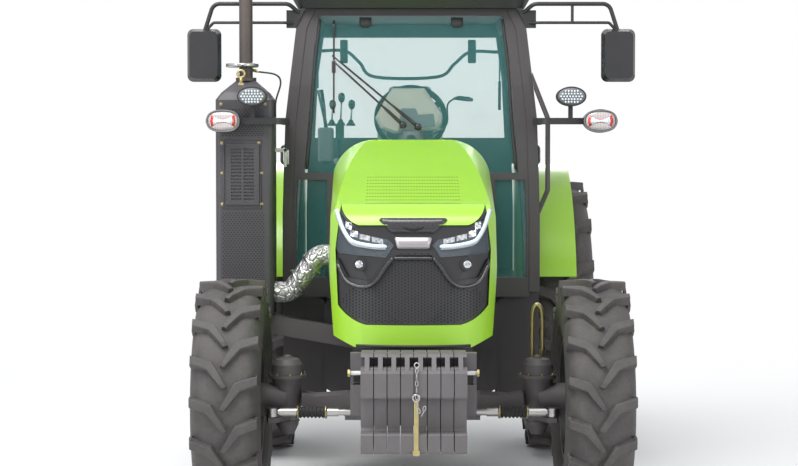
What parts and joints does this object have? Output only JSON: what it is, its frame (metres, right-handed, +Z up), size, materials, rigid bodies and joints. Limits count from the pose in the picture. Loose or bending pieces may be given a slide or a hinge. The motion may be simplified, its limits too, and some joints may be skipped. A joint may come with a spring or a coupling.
{
  "type": "farm tractor",
  "caption": "Four-wheel-drive farm tractor with a glazed cab, tilting bonnet, steering front axle, front weights, exhaust column and rear three-point hitch.",
  "frame": {"origin": "middle of the footprint, on the ground", "axes": "+Z up; the tractor faces -Y; +X is its own left side"},
  "size_m": [2.56, 4.75, 3.0199],
  "materials": {
    "lime_paint": "gloss lime green paint",
    "black_paint": "satin dark brown-grey paint",
    "black_plastic": "moulded, fine grain",
    "lamp_lens": "clear moulded lens",
    "cab_glass": "lightly tinted safety glass",
    "tyre_rubber": "matt rubber",
    "rim_paint": "satin dark grey paint",
    "cast_grey": "painted casting, slightly rough",
    "bare_steel": "ground steel",
    "heat_foil": "embossed heat foil and steel",
    "seat_cloth": "woven upholstery"
  },
  "bodies": {
    "tractor": {"aftertreatment_box": "black_paint", "cab_floor": "black_plastic", "cab_front_frame": "black_paint", "cab_rear_frame": "black_paint", "cab_side_frame_left": "black_paint", "cab_side_frame_right": "black_paint", "cab_steps": "black_paint", "door_hinges": "black_paint", "drawbar": "cast_grey", "engine_block": "cast_grey", "engine_cowl": "lime_paint", "exhaust_beam": "cast_grey", "exhaust_pipe": "heat_foil", "exhaust_stack": "heat_foil", "front_axle_beam": "cast_grey", "front_glass": "cab_glass", "front_support": "cast_grey", "front_weights": "cast_grey", "fuel_tanks": "black_paint", "handrail": "black_paint", "mirrors": "black_plastic", "radiator": "black_paint", "rear_fender_left": "lime_paint", "rear_fender_right": "lime_paint", "rear_window": "cab_glass", "roof_cap": "lime_paint", "roof_lamps": "black_plastic", "roof_rim": "black_plastic", "seat_base": "black_plastic", "seat_cushions": "seat_cloth", "side_console": "black_plastic", "side_windows": "cab_glass", "stalk_lamps": "black_plastic", "steering_console": "black_plastic", "steering_cylinder": "bare_steel", "transmission_housing": "cast_grey", "weight_carrier": "black_paint"},
    "knuckle_left": {"front_knuckle_left": "cast_grey"},
    "knuckle_right": {"front_knuckle_right": "cast_grey"},
    "front_wheel_left": {"front_rim_left": "rim_paint", "front_tyre_left": "tyre_rubber"},
    "front_wheel_right": {"front_rim_right": "rim_paint", "front_tyre_right": "tyre_rubber"},
    "rear_wheel_left": {"rear_rim_left": "rim_paint", "rear_tyre_left": "tyre_rubber"},
    "rear_wheel_right": {"rear_rim_right": "rim_paint", "rear_tyre_right": "tyre_rubber"},
    "steer_rod": {"steering_rod": "bare_steel"},
    "bonnet": {"bonnet_shell": "lime_paint", "grille_mask": "black_plastic", "headlamps": "lamp_lens"},
    "door_left": {"door_frame_left": "black_paint", "door_glass_left": "cab_glass"},
    "door_right": {"door_frame_right": "black_paint", "door_glass_right": "cab_glass"},
    "links": {"lower_links": "cast_grey"},
    "arms": {"lift_arms": "cast_grey"},
    "rods": {"lift_rods": "cast_grey"},
    "pto": {"pto_shaft": "bare_steel"}
  },
  "joints": [
    {"name": "steer_left", "type": "hinge", "parent": "tractor", "child": "knuckle_left", "pos_m": [0.652, -1.325, 0.63], "axis": [0, 0, 1], "range_deg": [-35, 35]},
    {"name": "steer_right", "type": "hinge", "parent": "tractor", "child": "knuckle_right", "pos_m": [-0.652, -1.325, 0.63], "axis": [0, 0, 1], "range_deg": [-35, 35]},
    {"name": "steer_rod_slide", "type": "slide", "parent": "tractor", "child": "steer_rod", "axis": [1, 0, 0], "range_m": [-0.0925, 0.0925]},
    {"name": "front_spin_left", "type": "hinge", "parent": "knuckle_left", "child": "front_wheel_left", "pos_m": [0.935, -1.325, 0.63], "axis": [1, 0, 0], "continuous": true},
    {"name": "front_spin_right", "type": "hinge", "parent": "knuckle_right", "child": "front_wheel_right", "pos_m": [-0.935, -1.325, 0.63], "axis": [1, 0, 0], "continuous": true},
    {"name": "rear_spin_left", "type": "hinge", "parent": "tractor", "child": "rear_wheel_left", "pos_m": [0.94, 1.175, 0.865], "axis": [1, 0, 0], "continuous": true},
    {"name": "rear_spin_right", "type": "hinge", "parent": "tractor", "child": "rear_wheel_right", "pos_m": [-0.94, 1.175, 0.865], "axis": [1, 0, 0], "continuous": true},
    {"name": "bonnet_lift", "type": "hinge", "parent": "tractor", "child": "bonnet", "pos_m": [0, -0.645, 1.978], "axis": [-1, 0, 0], "range_deg": [0, 50]},
    {"name": "door_left_swing", "type": "hinge", "parent": "tractor", "child": "door_left", "pos_m": [0.749, 0.531, 1.9], "axis": [-0.0846, 0.0398, 0.9956], "range_deg": [0, 70]},
    {"name": "door_right_swing", "type": "hinge", "parent": "tractor", "child": "door_right", "pos_m": [-0.749, 0.531, 1.9], "axis": [-0.0846, -0.0398, -0.9956], "range_deg": [0, 70]},
    {"name": "hitch_lift", "type": "hinge", "parent": "tractor", "child": "links", "pos_m": [0, 1.3, 0.5], "axis": [1, 0, 0], "range_deg": [-12, 30]},
    {"name": "lift_arm", "type": "hinge", "parent": "tractor", "child": "arms", "pos_m": [0, 1.45, 1.04], "axis": [1, 0, 0], "range_deg": [-18, 42]},
    {"name": "lift_rod", "type": "hinge", "parent": "arms", "child": "rods", "pos_m": [0, 1.87, 1.12], "axis": [1, 0, 0], "range_deg": [-42, 18]},
    {"name": "pto_spin", "type": "hinge", "parent": "tractor", "child": "pto", "pos_m": [0, 1.45, 0.7], "axis": [0, 1, 0], "continuous": true}
  ],
  "couplings": [
    {"joint": "steer_right", "follows": "steer_left", "ratio": 1},
    {"joint": "steer_rod_slide", "follows": "steer_left", "m_per_rad": 0.15},
    {"joint": "lift_arm", "follows": "hitch_lift", "ratio": 1.308},
    {"joint": "lift_rod", "follows": "hitch_lift", "ratio": -1.308}
  ]
}
